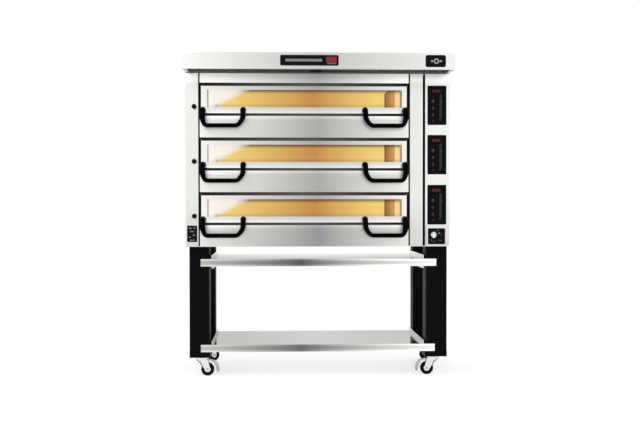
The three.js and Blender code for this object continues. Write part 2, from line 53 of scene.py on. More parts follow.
DOOR_LEFT, DOOR_RIGHT = -706, 538
DOOR_MIDDLE = (DOOR_LEFT + DOOR_RIGHT) / 2
HOOD_FRONT_Y = -214
CAMERA_X, CAMERA_Y, CAMERA_Z = -251.9, -7300, 1046.2


def metres(axis, length):
    """A place on one axis, in metres of the frame."""
    return length / 1000 + (BODY_FRONT_Y if axis == "y" else 0)


def point(x, y, z):
    return Vector((metres("x", x), metres("y", y), metres("z", z)))


def moved(stops, distance):
    """The same (place, value) stops, moved along their axis."""
    return [(place + distance, value) for place, value in stops]


# ---------------------------------------------------------------- colours
# Levels are sRGB, 0 to 255; shaders take linear colour.
BLACK, WHITE = (0, 0, 0), (1, 1, 1)
WARM_TINT = (1.0, 0.99, 0.965)


def linear(level):
    c = level / 255
    return c / 12.92 if c <= 0.04045 else ((c + 0.055) / 1.055) ** 2.4


def linear_rgb(levels):
    return tuple(linear(level) for level in levels)


def linear_grey(level):
    return (linear(level),) * 3


def warm_grey(level, scale=1.0):
    return tuple(linear(level) * tint * scale for tint in WARM_TINT)


def grey(value):
    """A grey of a value that is already linear."""
    return (value,) * 3


# ---------------------------------------------------------------- shader nodes
class Shader:
    """Short-hands for a node tree; the geometry nodes are added on first use."""

    def __init__(self, tree):
        self.tree = tree

    def feed(self, socket, value):
        """Give an input a constant, or link a socket or a node's first output to it."""
        if isinstance(value, bpy.types.Node):
            value = value.outputs[0]
        if isinstance(value, bpy.types.NodeSocket):
            self.tree.links.new(value, socket)
        elif socket.type == "RGBA":
            socket.default_value = (*value, 1.0)
        else:
            socket.default_value = value

    def add(self, kind, *values, **named):
        """A new node whose inputs are given in order or by name."""
        node = self.tree.nodes.new("ShaderNode" + kind)
        for socket, value in zip(node.inputs, values):
            self.feed(socket, value)
        for key, value in named.items():
            self.feed(node.inputs[key], value)
        return node

    def axes(self, output):
        """The x, y and z of one of the geometry node's vectors."""
        parts = self.add("SeparateXYZ", self.geometry.outputs[output])
        return dict(zip("xyz", parts.outputs))

    @cached_property
    def geometry(self):
        return self.add("NewGeometry")

    @cached_property
    def position(self):
        return self.axes("Position")

    @cached_property
    def normal(self):
        return self.axes("True Normal")

    def math(self, operation, *values, clamp=False):
        node = self.add("Math")
        node.operation = operation
        node.use_clamp = clamp
        for socket, value in zip(node.inputs, values):
            self.feed(socket, value)
        return node.outputs[0]

    def mix(self, factor, first, second, blend="MIX"):
        node = self.add("Mix")
        node.data_type = "RGBA"
        node.blend_type = blend
        # inputs 6 and 7 and output 2 are the node's colour sockets
        for index, value in ((0, factor), (6, first), (7, second)):
            self.feed(node.inputs[index], value)
        return node.outputs[2]

    def times(self, first, second):
        return self.mix(1, first, second, blend="MULTIPLY")

    def noise(self, scale, detail, roughness=0.5, vector=None):
        vector = vector or self.geometry.outputs["Position"]
        node = self.add("TexNoise", Vector=vector, Scale=scale, Detail=detail,
                        Roughness=roughness)
        return node.outputs[0]

    def ramp(self, axis, stops, colour=grey):
        """A colour ramp along an axis; stops are (place, value) in rising order."""
        start, end = stops[0][0], stops[-1][0]
        span = self.add("MapRange", **{
            "Value": self.position[axis],
            "From Min": metres(axis, start),
            "From Max": metres(axis, end),
        })
        ramp = self.add("ValToRGB", span)
        elements = ramp.color_ramp.elements
        while len(elements) > 1:
            elements.remove(elements[-1])
        elements[0].position = 0
        elements[0].color = (*colour(stops[0][1]), 1)
        for place, value in stops[1:]:
            element = elements.new((place - start) / (end - start))
            element.color = (*colour(value), 1)
        return ramp.outputs[0]

    def facing(self, axis, sign):
        """1 where a face looks along one signed axis, 0 elsewhere."""
        slope = self.math("MULTIPLY", self.normal[axis], 1.25 * sign)
        return self.math("SUBTRACT", slope, 0.2, clamp=True)

    def within(self, axis, middle, half):
        """1 closer than half to the middle, 0 elsewhere."""
        offset = self.math("SUBTRACT", self.position[axis], metres(axis, middle))
        return self.math("LESS_THAN", self.math("ABSOLUTE", offset), half / 1000)

    def finish(self, surface, output="OutputMaterial"):
        self.add(output, Surface=surface)


MATERIALS = {}


def new_material(name):
    material = bpy.data.materials.new(name)
    material.use_nodes = True
    material.node_tree.nodes.clear()
    MATERIALS[name] = material
    return Shader(material.node_tree)


def steel(name, front=None, plain=226, rough=0.3, grain="x", scale=0.94, split=None, top=None,
          height=None, down=None, up=None, up_depth=None, sides=(None, None), lift=0.0,
          front_glow=None, up_glow=None):
    """Brushed stainless steel, toned by the way each face looks, with painted reflections,
    painted highlights and painted shade in its colour.

    front, down, up: (x, level) stops of a soft gradient over the faces looking that way; painted
    reflection on the fronts, painted shade on the undersides and upper faces
    plain: level of all other faces; sides: levels of the faces to +X and to -X, painted shade on
    those faces
    scale: factor on the front tones
    split, top: height above which the top stops replace the front ones
    height: (z, factor) of painted shade and painted highlights over the front faces; up_depth:
    (y, factor) of painted shade over the upper ones
    lift: share of the front tone that glows as painted light; front_glow: (z, glow); up_glow:
    (y, glow); both glows are painted light
    """
    shader = new_material(name)
    stretch = [700.0] * 3
    stretch["xyz".index(grain)] = 4.0
    mapping = shader.add("Mapping", Vector=shader.geometry.outputs["Position"], Scale=stretch)
    brushing = shader.noise(scale=1.0, detail=3.0, roughness=0.6, vector=mapping)
    streak_depth = 0.05
    streak = shader.math("MULTIPLY_ADD", brushing, streak_depth, 1 - streak_depth / 2)

    def front_ramp(stops):
        return shader.ramp("x", stops, lambda level: warm_grey(level, scale))

    colour = warm_grey(plain)
    if down:
        colour = shader.mix(shader.facing("z", -1), colour, shader.ramp("x", down, warm_grey))
    if up:
        tone = shader.ramp("x", up, warm_grey)
        if up_depth:
            tone = shader.times(tone, shader.ramp("y", up_depth))
        colour = shader.mix(shader.facing("z", 1), colour, tone)
    for sign, level in zip((1, -1), sides):
        if level is not None:
            colour = shader.mix(shader.facing("x", sign), colour, warm_grey(level))
    glow = None
    if front:
        ahead = shader.facing("y", -1)
        tone = front_ramp(front)
        if split is not None:
            above = shader.math("SUBTRACT", shader.position["z"], metres("z", split - 4))
            above = shader.math("MULTIPLY", above, 160.0, clamp=True)
            tone = shader.mix(above, tone, front_ramp(top))
        if height:
            tone = shader.times(tone, shader.ramp("z", height))
        colour = shader.mix(ahead, colour, tone)
        if front_glow:
            glow = shader.times(shader.ramp("z", front_glow), shader.mix(ahead, BLACK, WHITE))
        elif lift or up_glow:
            glow = shader.times(tone, shader.mix(ahead, BLACK, grey(lift)))
    if up_glow:
        upper = shader.mix(shader.facing("z", 1), BLACK, WHITE)
        upper = shader.times(shader.ramp("y", up_glow), upper)
        glow = shader.mix(1, glow, upper, blend="ADD")
    bsdf = shader.add("BsdfPrincipled", **{
        "Metallic": 1.0,
        "Base Color": shader.times(colour, streak),
        "Roughness": shader.math("MULTIPLY_ADD", brushing, 0.12, rough - 0.06),
    })
    if glow is not None:
        shader.feed(bsdf.inputs["Emission Color"], shader.times(glow, streak))
        shader.feed(bsdf.inputs["Emission Strength"], 1.0)
    shader.finish(bsdf)


def paint(name, rgb, sides=None, rough=0.5, metallic=0.0, spec=0.5, wander=0.12, scale=60.0,
          bump=0.0, glow=None, glow_strength=0.0):
    """A finish whose colour and roughness wander slightly.

    rgb, sides, glow: levels of the colour, of the faces to +X and -X, and of the emission
    wander: share by which the colour strays; scale: of the noise it strays with
    With rgb None the base colour is left to the caller, who gets the BSDF node.
    """
    shader = new_material(name)
    patches = shader.noise(scale, detail=4.0, roughness=0.55)
    bsdf = shader.add("BsdfPrincipled", **{
        "Metallic": metallic,
        "Specular IOR Level": spec,
        "Roughness": shader.math("MULTIPLY_ADD", patches, 0.14, rough - 0.07),
    })
    if rgb:
        base = linear_rgb(rgb)
        colour = shader.mix(patches, tuple(c * (1 - wander) for c in base),
                            tuple(min(1.0, c * (1 + wander)) for c in base))
        if sides:
            for sign in (1, -1):
                colour = shader.mix(shader.facing("x", sign), colour, linear_rgb(sides))
        shader.feed(bsdf.inputs["Base Color"], colour)
    if glow:
        shader.feed(bsdf.inputs["Emission Color"], linear_rgb(glow))
        shader.feed(bsdf.inputs["Emission Strength"], glow_strength)
    if bump:
        fine = shader.noise(scale * 9, detail=3.0)
        relief = shader.add("Bump", Strength=bump, Distance=0.001, Height=fine)
        shader.feed(bsdf.inputs["Normal"], relief)
    shader.finish(bsdf)
    return bsdf


def pedal_steel(name):
    """Bright pressed steel that grows paler with height."""
    bsdf = paint(name, None, rough=0.4, metallic=0.6, scale=50)
    shader = Shader(MATERIALS[name].node_tree)
    tone = shader.ramp("z", [(20, 150), (100, 190)], linear_grey)
    shader.feed(bsdf.inputs["Base Color"], tone)


# ---------------------------------------------------------------- steel finishes
# painted reflections: the sheet steel fronts are pale at both ends and darker in the middle, as
# between two soft lights; the hood's underside and its lower front edge carry painted shade
steel("steel_hood", front=[(-800, 245), (0, 205), (800, 245)], plain=236, rough=0.26,
      split=1868, top=[(-800, 245), (0, 200), (800, 245)],
      height=[(1846, 0.92), (1850, 1.0), (1943, 1.0)],
      down=[(-800, 130), (0, 100), (800, 160)])
# fascia: painted reflection across the front, painted shade on its sides in the gaps, and
# painted light (lift and height) against the hood's shadow
steel("steel_fascia", front=[(-720, 240), (0, 160), (550, 240)], scale=1.05, lift=0.30,
      sides=(60, 60), height=[(1780, 1.1), (1810, 1.0), (1843, 1.1)])
for deck, dz in DECKS:
    middle_level = 150 if deck == 3 else 170
    end_level = 230 if deck == 3 else 240
    panel_top = 1586 + dz
    panel_low = 796 if deck == 3 else panel_top - 130
    # painted reflection across the front, a painted highlight along the top fold and painted
    # shade on the sides in the gaps
    steel("steel_panel_%d" % deck, scale=0.97, sides=(60, 60),
          front=[(-720, end_level), (0, middle_level), (550, end_level)],
          height=[(panel_low, 1.0), (panel_top - 26, 1.0), (panel_top, 1.4)])

# the upright sheets beside the doors: painted shade towards the bottom and on the sides in the
# gaps, painted light glowing near the top under the hood
UPRIGHT_LIGHT_AND_SHADE = [(800, 0.8), (1100, 1.0), (1780, 1.0), (1843, 1.8)]
RIGHT_PAINTED_GLOW = [(1780, 0.03), (1843, 0.18)]
steel("steel_column", front=[(-800, 235), (-720, 235)], scale=0.90, height=UPRIGHT_LIGHT_AND_SHADE,
      front_glow=[(1780, 0.03), (1843, 0.3)], sides=(60, None))
steel("steel_filler", front=[(552, 235), (644, 235)], scale=0.92, height=UPRIGHT_LIGHT_AND_SHADE,
      front_glow=RIGHT_PAINTED_GLOW, sides=(60, 60))
steel("steel_cabinet", front=[(644, 238), (800, 238)], plain=238, height=UPRIGHT_LIGHT_AND_SHADE,
      front_glow=RIGHT_PAINTED_GLOW, sides=(None, 60))
steel("steel_shell", plain=214, rough=0.34, grain="y")
for deck, dz in DECKS:
    # painted reflection across the fronts and the top rail, painted highlight and painted shade
    # over the rounded bottom rail
    steel("steel_door_%d" % deck, front=[(-720, 250), (0, 220), (550, 250)], plain=220,
          rough=0.24, scale=0.93, split=1690 + dz, top=[(-720, 250), (0, 175), (550, 250)],
          height=moved([(1602, 1.15), (1630, 0.85), (1645, 1.0), (1766, 1.0)], dz))
# shelves: painted reflections on the lips with painted highlights along their top and bottom
# edges, painted shade on the sides and at the left of the upper faces; on the upper shelf,
# painted shade towards the front and painted light glowing at the back
steel("steel_shelf_upper", front=[(-720, 180), (-100, 90), (720, 250)], plain=236, rough=0.1,
      scale=0.98, sides=(185, 185), up=[(-690, 120), (0, 240), (690, 240)],
      up_depth=[(40, 0.8), (860, 1.5)], up_glow=[(40, 0.0), (860, 0.22)],
      height=[(675, 2.0), (690, 1.0), (704, 1.0), (719, 2.0)])
steel("steel_shelf_lower", front=[(-720, 200), (-100, 110), (720, 250)], plain=230, rough=0.1,
      scale=0.82, sides=(150, 150), up=[(-690, 160), (0, 240), (690, 240)],
      height=[(153, 1.8), (168, 1.0), (183, 1.0), (197, 1.5)])

# ---------------------------------------------------------------- other finishes
# the stand's black, with a painted highlight on the faces to +X and -X
paint("stand_black", (9, 8, 6), sides=(36, 35, 33), rough=0.5, spec=0.03, bump=0.12, scale=40)
paint("handle_black", (2, 2, 2), rough=0.45, spec=0.015, scale=30)
paint("knob_black", (6, 6, 6), rough=0.45, spec=0.06, scale=30)
paint("plate_black", (8, 8, 8), rough=0.3, spec=0.06, scale=30)
paint("pad_black", (6, 5, 5), rough=0.35, spec=0.05, scale=30)
paint("pad_grey", (66, 64, 62), rough=0.5, spec=0.1, scale=90)
paint("pad_dim", (40, 38, 37), rough=0.5, spec=0.1, scale=90)
paint("pad_red", (74, 24, 34), rough=0.4, spec=0.1, glow=(40, 8, 14), glow_strength=0.4)
paint("pad_rose", (62, 34, 38), rough=0.4, spec=0.1)
paint("plate_grey", (108, 108, 107), rough=0.45, spec=0.1, scale=120)
paint("plate_dark", (84, 79, 78), rough=0.45, spec=0.1, scale=120)
paint("plate_white", (146, 146, 144), rough=0.45, spec=0.1, scale=120)
paint("plate_red", (120, 32, 40), rough=0.4, spec=0.1, scale=120)
paint("castor_zinc", (226, 227, 228), rough=0.32, metallic=1.0, scale=50)
# a darker copy of the fork's zinc, painted shade along its edges
paint("fork_edge_shade", (96, 100, 104), rough=0.4, metallic=0.6, scale=50)
paint("bolt_steel", (190, 188, 185), rough=0.35, metallic=1.0, scale=80)
paint("castor_tyre", (8, 8, 8), rough=0.7, spec=0.08, bump=0.2, scale=60)
# the front hubs glow, painted light that pales them; the rear hubs take a darker copy, painted
# shade
paint("castor_hub", (236, 236, 234), rough=0.4, glow=(200, 200, 200), glow_strength=0.35)
pedal_steel("pedal_steel_left")
pedal_steel("pedal_steel_right")
paint("castor_hub_shaded", (128, 127, 125), rough=0.5)
paint("knob_light", (196, 210, 204), rough=0.3)
paint("seal_dark", (30, 27, 25), rough=0.8, spec=0.2, bump=0.3, scale=80)
paint("element_oxide", (92, 84, 80), rough=0.5, metallic=1.0, scale=90)
paint("insulation_wool", (58, 56, 53), rough=0.95, spec=0.1, bump=0.8, scale=90, wander=0.3)
paint("hood_filter", (120, 118, 114), rough=0.4, metallic=1.0, scale=90)
paint("switch_mark", (96, 128, 118), rough=0.4, scale=90)
# faint and deep painted shade for the strips along the window's upright edges
paint("edge_shade_faint", (172, 164, 165), rough=0.5, scale=80)
paint("edge_shade_deep", (142, 131, 120), rough=0.5, scale=80)

# ---------------------------------------------------------------- chambers, stones and glass
# (place, rgb levels) of the warm light
BACK_GLOW = [(-560, (245, 215, 125)), (0, (200, 142, 76)), (400, (245, 215, 125))]
WALL_GLOW = [(37, (210, 160, 88)), (757, (120, 70, 46))]  # from the mouth to the back corner
JAMB_GLOW = [(-676, (248, 224, 160)), (516, (248, 224, 160))]
FLANGE_LEVELS = [(-720, 5), (-80, 80), (560, 5)]


def chamber(deck, dz):
    """Lit inside of a baking chamber, dark on its outside.

    The front end is bright on the jambs of the mouth and faint on the flange round them,
    which catches some studio light through the door gaps.
    """
    shader = new_material("chamber_%d" % deck)
    back = shader.ramp("x", BACK_GLOW, linear_rgb)
    wall = shader.ramp("y", WALL_GLOW, linear_rgb)
    sideways = shader.math("MAXIMUM", shader.facing("x", 1), shader.facing("x", -1))
    glow = shader.mix(sideways, back, wall)
    grain = shader.noise(scale=14.0, detail=5.0, roughness=0.6)
    grain = shader.math("MULTIPLY_ADD", grain, 0.16, 0.90)

    behind = shader.math("GREATER_THAN", shader.position["y"], metres("y", 36.6))
    box = shader.math("MULTIPLY", shader.within("x", DOOR_MIDDLE, 555.2),
                      shader.within("z", 1681 + dz, 110.2))
    inside = shader.math("MULTIPLY", behind, box)
    mouth = shader.math("MULTIPLY", shader.within("x", -80.5, 590.5),
                        shader.within("z", 1690.5 + dz, 60))
    ahead = shader.math("SUBTRACT", 1.0, behind)
    jamb = shader.math("MULTIPLY", mouth, ahead)
    lit = shader.math("MAXIMUM", inside, jamb)
    glow = shader.mix(ahead, glow, shader.ramp("x", JAMB_GLOW, linear_rgb))
    flange = shader.math("MULTIPLY", ahead, shader.math("SUBTRACT", 1.0, jamb))
    glow = shader.mix(flange, glow, shader.ramp("x", FLANGE_LEVELS, linear_grey))
    lit = shader.math("MAXIMUM", lit, flange)
    shader.finish(shader.add("BsdfPrincipled", **{
        "Metallic": 0.0,
        "Roughness": 0.6,
        "Specular IOR Level": 0.03,
        "Base Color": shader.mix(lit, (0.012, 0.011, 0.010), (0.02, 0.012, 0.006)),
        "Emission Color": glow,
        "Emission Strength": shader.math("MULTIPLY", lit, grain),
    }))


def door_glass(deck, dz):
    """Clear glass; a pale studio reflection lies across its left end, cut off on a slant."""
    shader = new_material("door_glass_%d" % deck)
    # (z, (red share let through, green to red and blue to green ratio)); less is let through
    # near the glass's top and bottom edges, painted shade there
    tone = shader.ramp("z", moved([
        (1640, (0.92, 1.0)), (1648, (0.86, 1.0)), (1656, (0.96, 1.0)), (1662, (0.985, 0.985)),
        (1716, (0.985, 0.985)), (1724, (0.90, 0.99)), (1731, (0.74, 0.99)),
        (1738, (0.52, 1.0)), (1742, (0.46, 1.02)),
    ], dz), lambda pair: (pair[0], pair[0] * pair[1], pair[0] * pair[1] * pair[1]))
    clear = shader.add("BsdfTransparent", tone)
    shine = shader.ramp("x", [(-675, (0.98, 0.94, 0.86)), (-470, (0.92, 0.84, 0.74))], tuple)
    gloss = shader.add("BsdfGlossy", shine, Roughness=0.04)
    # right-hand end of the reflection; a metre is added in the ramp to keep it positive
    limit = shader.ramp("z", moved([(1638, -640), (1743, -440)], dz),
                        lambda x: grey(metres("x", x) + 1.0))
    limit = shader.math("SUBTRACT", limit, 1.0)
    share = shader.math("SUBTRACT", limit, shader.position["x"])
    share = shader.math("MULTIPLY_ADD", share, 12.0, 0.5, clamp=True)
    share = shader.math("MULTIPLY", share, 0.93)
    front = shader.math("MULTIPLY", shader.normal["y"], -1.0, clamp=True)
    share = shader.math("MULTIPLY", share, front)
    share = shader.math("MAXIMUM", share, 0.012)
    shader.finish(shader.add("MixShader", share, clear, gloss))


def hearth_stone():
    """Speckled stone with the back wall's glow, drawn in towards the camera's x."""
    shader = new_material("hearth_stone")
    glow = [(CAMERA_X + (x - CAMERA_X) * 0.956, levels) for x, levels in BACK_GLOW]
    cells = shader.add("TexVoronoi", Vector=shader.geometry.outputs["Position"], Scale=220.0)
    clouds = shader.noise(scale=18.0, detail=6.0, roughness=0.65)
    speckle = shader.math("MULTIPLY_ADD", cells.outputs["Distance"], 0.35, 0.75)
    speckle = shader.math("MULTIPLY", speckle, shader.math("ADD", clouds, 0.5))
    shader.finish(shader.add("BsdfPrincipled", **{
        "Roughness": 0.85,
        "Specular IOR Level": 0.1,
        "Base Color": (0.08, 0.055, 0.03),
        "Emission Color": shader.ramp("x", glow, linear_rgb),
        "Emission Strength": shader.math("MULTIPLY", speckle, 0.80),
    }))


for deck, dz in DECKS:
    chamber(deck, dz)
    door_glass(deck, dz)
hearth_stone()


# ---------------------------------------------------------------- mesh helpers
def put(obj, material):
    obj.data.materials.clear()
    obj.data.materials.append(MATERIALS[material])


def new_object(name, bm):
    mesh = bpy.data.meshes.new(name)
    bm.to_mesh(mesh)
    bm.free()
    obj = bpy.data.objects.new(name, mesh)
    bpy.context.scene.collection.objects.link(obj)
    return obj


def add_bevel(obj, width, segments=2):
    bevel = obj.modifiers.new("edge", "BEVEL")
    bevel.width = width / 1000
    bevel.segments = segments
    bevel.limit_method = "ANGLE"
    bevel.angle_limit = math.radians(35)
    bevel.harden_normals = False
    bevel.use_clamp_overlap = True
    normals = obj.modifiers.new("normals", "WEIGHTED_NORMAL")
    normals.keep_sharp = True


def finish_mesh(name, bm, material, body, smooth=False, bevel=0.0, turn=None):
    """Make the object, riding on a body of the frame; turn is an optional matrix."""
    if turn is not None:
        bmesh.ops.transform(bm, matrix=turn, verts=bm.verts)
    bmesh.ops.recalc_face_normals(bm, faces=bm.faces)
    obj = new_object(name, bm)
    put(obj, material)
    if smooth:
        for polygon in obj.data.polygons:
            polygon.use_smooth = True
    if bevel:
        add_bevel(obj, bevel)
    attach(obj, body)
    return obj


def add_ring(bm, points):
    return [bm.verts.new(p) for p in points]


def bridge(bm, first, second):
    """A band of faces between two rings of as many vertices."""
    count = len(first)
    for k in range(count):
        after = (k + 1) % count
        bm.faces.new([first[k], first[after], second[after], second[k]])


def add_slab(bm, near, far):
    """A closed slab between two outlines."""
    near, far = add_ring(bm, near), add_ring(bm, far)
    bm.faces.new(near)
    bm.faces.new(list(reversed(far)))
    bridge(bm, near, far)


def plate(name, outline, depths, material, body="root", bevel=0.0, turn=None):
    """A plate from an (x, z) outline between two depths."""
    bm = bmesh.new()
    add_slab(bm, *([point(x, y, z) for x, z in outline] for y in depths))
    return finish_mesh(name, bm, material, body, bevel=bevel, turn=turn)


def block(name, x_span, y_span, z_span, material, body="root", bevel=0.6):
    (x0, x1), (z0, z1) = x_span, z_span
    plate(name, [(x0, z0), (x1, z0), (x1, z1), (x0, z1)], y_span, material, body, bevel)


def mark(name, x, z, width, height, depths, material, bevel=0.2):
    """A small raised bar centred on x and z."""
    block(name, (x - width / 2, x + width / 2), depths, (z - height / 2, z + height / 2),
          material, bevel=bevel)


def rounded(x0, x1, z0, z1, radius, steps=5):
    """Outline of a rectangle with rounded corners."""
    outline = []
    for x, z, start in (
        (x1 - radius, z0 + radius, -90),
        (x1 - radius, z1 - radius, 0),
        (x0 + radius, z1 - radius, 90),
        (x0 + radius, z0 + radius, 180),
    ):
        for i in range(steps + 1):
            angle = math.radians(start + 90 * i / steps)
            outline.append((x + radius * math.cos(angle), z + radius * math.sin(angle)))
    return outline


def circle(sides):
    """(cosine, sine) of evenly spaced angles."""
    angles = [2 * math.pi * k / sides for k in range(sides)]
    return [(math.cos(angle), math.sin(angle)) for angle in angles]


def turned(name, x, z, profile, material, sides, body="root", turn=None):
    """A turned piece whose axis runs along Y; profile is (radius, y)."""
    bm = bmesh.new()
    rings = []
    for radius, y in profile:
        directions = circle(sides) if radius else [(0, 0)]
        rings.append(add_ring(bm, [point(x + radius * c, y, z + radius * s)
                                   for c, s in directions]))
    for a, b in zip(rings, rings[1:]):
        for k in range(sides):
            after = (k + 1) % sides
            if len(a) == 1:
                bm.faces.new([a[0], b[k], b[after]])
            elif len(b) == 1:
                bm.faces.new([a[k], b[0], a[after]])
            else:
                bm.faces.new([a[k], b[k], b[after], a[after]])
    obj = finish_mesh(name, bm, material, body, smooth=True, turn=turn)
    split = obj.modifiers.new("split", "EDGE_SPLIT")
    split.split_angle = math.radians(38)
    return obj


def swept(name, rings, material, body="root", smooth=False):
    """A capped skin over a row of rings of points."""
    bm = bmesh.new()
    rings = [add_ring(bm, ring) for ring in rings]
    for first, second in zip(rings, rings[1:]):
        bridge(bm, first, second)
    bm.faces.new(rings[0])
    bm.faces.new(list(reversed(rings[-1])))
    return finish_mesh(name, bm, material, body, smooth=smooth)


def tube(name, path, radius_at, material, body, sides=20):
    """A round bar along a dense path; radius_at gives the radius at a point of it."""
    centres = [point(*p) for p in path]
    rings = []
    for k, centre in enumerate(centres):
        ahead = centres[min(k + 1, len(centres) - 1)]
        along = (ahead - centres[max(k - 1, 0)]).normalized()
        if k == 0:
            up = along.orthogonal().normalized()
        # carry the last ring's direction on, so that the bar doesn't twist
        up = (up - along * up.dot(along)).normalized()
        side = along.cross(up)
        radius = radius_at(path[k])
        rings.append([centre + (up * c + side * s) * radius / 1000 for c, s in circle(sides)])
    return swept(name, rings, material, body, smooth=True)


def fillet_path(corners, radius, steps=8):
    """The polyline with its inner corners rounded by quadratic curves."""
    path = [Vector(corners[0])]
    for before, corner, after in zip(corners, corners[1:], corners[2:]):
        corner = Vector(corner)
        back = Vector(before) - corner
        on = Vector(after) - corner
        reach = min(radius, back.length * 0.45, on.length * 0.45)
        start = corner + back.normalized() * reach
        end = corner + on.normalized() * reach
        for k in range(steps + 1):
            t = k / steps
            path.append(start * (1 - t) ** 2 + corner * 2 * t * (1 - t) + end * t * t)
    path.append(Vector(corners[-1]))
    return path


# ---------------------------------------------------------------- pieces of the frame
def dress(name, material, bevel=0.0, segments=2):
    put(NODES[name], material)
    if bevel:
        add_bevel(NODES[name], bevel, segments)


def dress_frame():
    for name, material, bevel in (
        ("hood", "steel_hood", 0.9),
        ("fascia_panel", "steel_fascia", 0.6),
        ("left_front_column", "steel_column", 0.6),
        ("right_filler_column", "steel_filler", 0.6),
        ("control_cabinet", "steel_cabinet", 0.6),
        ("insulation_block", "insulation_wool", 0),
        ("upper_shelf", "steel_shelf_upper", 0.6),
        ("lower_shelf", "steel_shelf_lower", 0.6),
        ("main_switch_knob", "knob_light", 1.2),
    ):
        dress(name, material, bevel)
    for name in ("left_side_panel", "right_side_panel", "rear_panel", "roof_panel", "base_pan"):
        dress(name, "steel_shell")
    for deck, _ in DECKS:
        dress("lower_front_panel_%d" % deck, "steel_panel_%d" % deck, 0.6)
        dress("chamber_liner_%d" % deck, "chamber_%d" % deck)
        dress("hearth_stone_%d" % deck, "hearth_stone", 1)
        dress("heating_element_%d" % deck, "element_oxide", 1.5)
        dress("door_frame_%d" % deck, "steel_door_%d" % deck, 1.2, segments=3)
        dress("door_glass_%d" % deck, "door_glass_%d" % deck)
        dress("control_panel_%d" % deck, "pad_black", 0.5)
    for name in NODES:
        if name.startswith(("leg_", "base_rail")):
            dress(name, "stand_black", 3, segments=3)
    for side, _ in SIDES:
        for row in ("front", "rear"):
            dress("castor_fork_%s_%s" % (row, side), "castor_zinc", 1.2)
        dress("brake_pedal_" + side, "pedal_steel_" + side, 1.5)


# ---------------------------------------------------------------- doors
def door_handle(deck, dz, side, sign):
    """A black bar bent down from two round feet on the door."""
    body = "door_%d" % deck
    outer, inner = DOOR_MIDDLE + sign * 611, DOOR_MIDDLE + sign * 368.5
    foot_z, bar_z, door_y = 1622 + dz, 1524 + dz, -2.3
    corners = [
        (outer, door_y - 1, foot_z), (outer, -56, foot_z - 3), (outer, -68, bar_z + 42),
        (outer - sign * 14, -72, bar_z), (inner + sign * 31, -72, bar_z),
        (inner, -68, bar_z + 42), (inner, -56, foot_z - 3), (inner, door_y - 1, foot_z),
    ]

    def radius_at(p):
        # the legs are a little stouter than the bar, the outer one most
        extra = 4.2 if abs(p[0] - DOOR_MIDDLE) > 560 else 2.6
        return 12.8 + extra * max(0.0, min(1.0, (p[2] - bar_z - 10) / 36))

    bar = tube("handle_%s_%d" % (side, deck), fillet_path(corners, 20), radius_at,
               "handle_black", body)
    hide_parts("door_handle_%s_%d" % (side, deck))
    foot = [(0, -11), (16, -11), (17.5, -9), (18, -6), (18, door_y), (0, door_y)]
    for end, x in (("outer", outer), ("inner", inner)):
        turned("handle_foot_%s_%s_%d" % (side, end, deck), x, foot_z, foot,
               "handle_black", 28, body)


def seal_frame(prefix, deck, x_span, y_span, z_span, width, bevel):
    """Four dark strips round a rectangle, the upright ones 1 mm clear of the others."""
    (x0, x1), (z0, z1) = x_span, z_span
    upright = (z0 + width + 1, z1 - width - 1)
    for place, xs, zs in (
        ("top", x_span, (z1 - width, z1)),
        ("low", x_span, (z0, z0 + width)),
        ("left", (x0, x0 + width), upright),
        ("right", (x1 - width, x1), upright),
    ):
        block("%s_%s_%d" % (prefix, place, deck), xs, y_span, zs, "seal_dark",
              "door_%d" % deck, bevel)


def door_details(deck, dz):
    seal_frame("glass_seal", deck, (-679, 518), (9.5, 13), (1629 + dz, 1752 + dz),
               width=8, bevel=0.6)
    # strips along the window's upright edges, painted shade of the frame's edge, faint on the
    # left and deeper on the right
    for side, xs, material in (
        ("left", (-669.7, -660.5), "edge_shade_faint"),
        ("right", (496.0, 508.7), "edge_shade_deep"),
    ):
        block("window_edge_shade_%s_%d" % (side, deck), xs, (0.5, 3.9), (1638.3 + dz, 1742.7 + dz),
              material, "door_%d" % deck, 0.3)
    # on the back of the leaf
    seal_frame("door_seal", deck, (-698, 526), (30, 33.2), (1604 + dz, 1762 + dz),
               width=7, bevel=1)
    # hinge pins along X, beside the upper corners
    gap, length, radius = 0.4, 2.2, 4
    for side, x in (("left", DOOR_LEFT - gap - length), ("right", DOOR_RIGHT + gap)):
        rings = [[point(end, 10 + radius * c, 1772 + dz + radius * s) for c, s in circle(16)]
                 for end in (x, x + length)]
        swept("hinge_pin_%s_%d" % (side, deck), rings, "bolt_steel")


def lamp_rings(deck, dz):
    for side, sign in SIDES:
        turned("lamp_ring_%s_%d" % (side, deck), DOOR_MIDDLE + sign * 387, 1712 + dz,
               [(30, 752), (34, 752), (34, 756.6), (0, 756.6)], "chamber_%d" % deck, 32)


# ---------------------------------------------------------------- controls
PAD_HEIGHTS = ((1534, 1772), (1234, 1473), (929, 1170))  # bottom and top z, by deck
PAD_FACE_Y = -3.4


def ring_profile(inner, outer, outer_back, front, back):
    """A closed ring section; its outer radius may differ at the back."""
    return [(inner, front), (outer, front), (outer_back, back), (inner, back), (inner, front)]


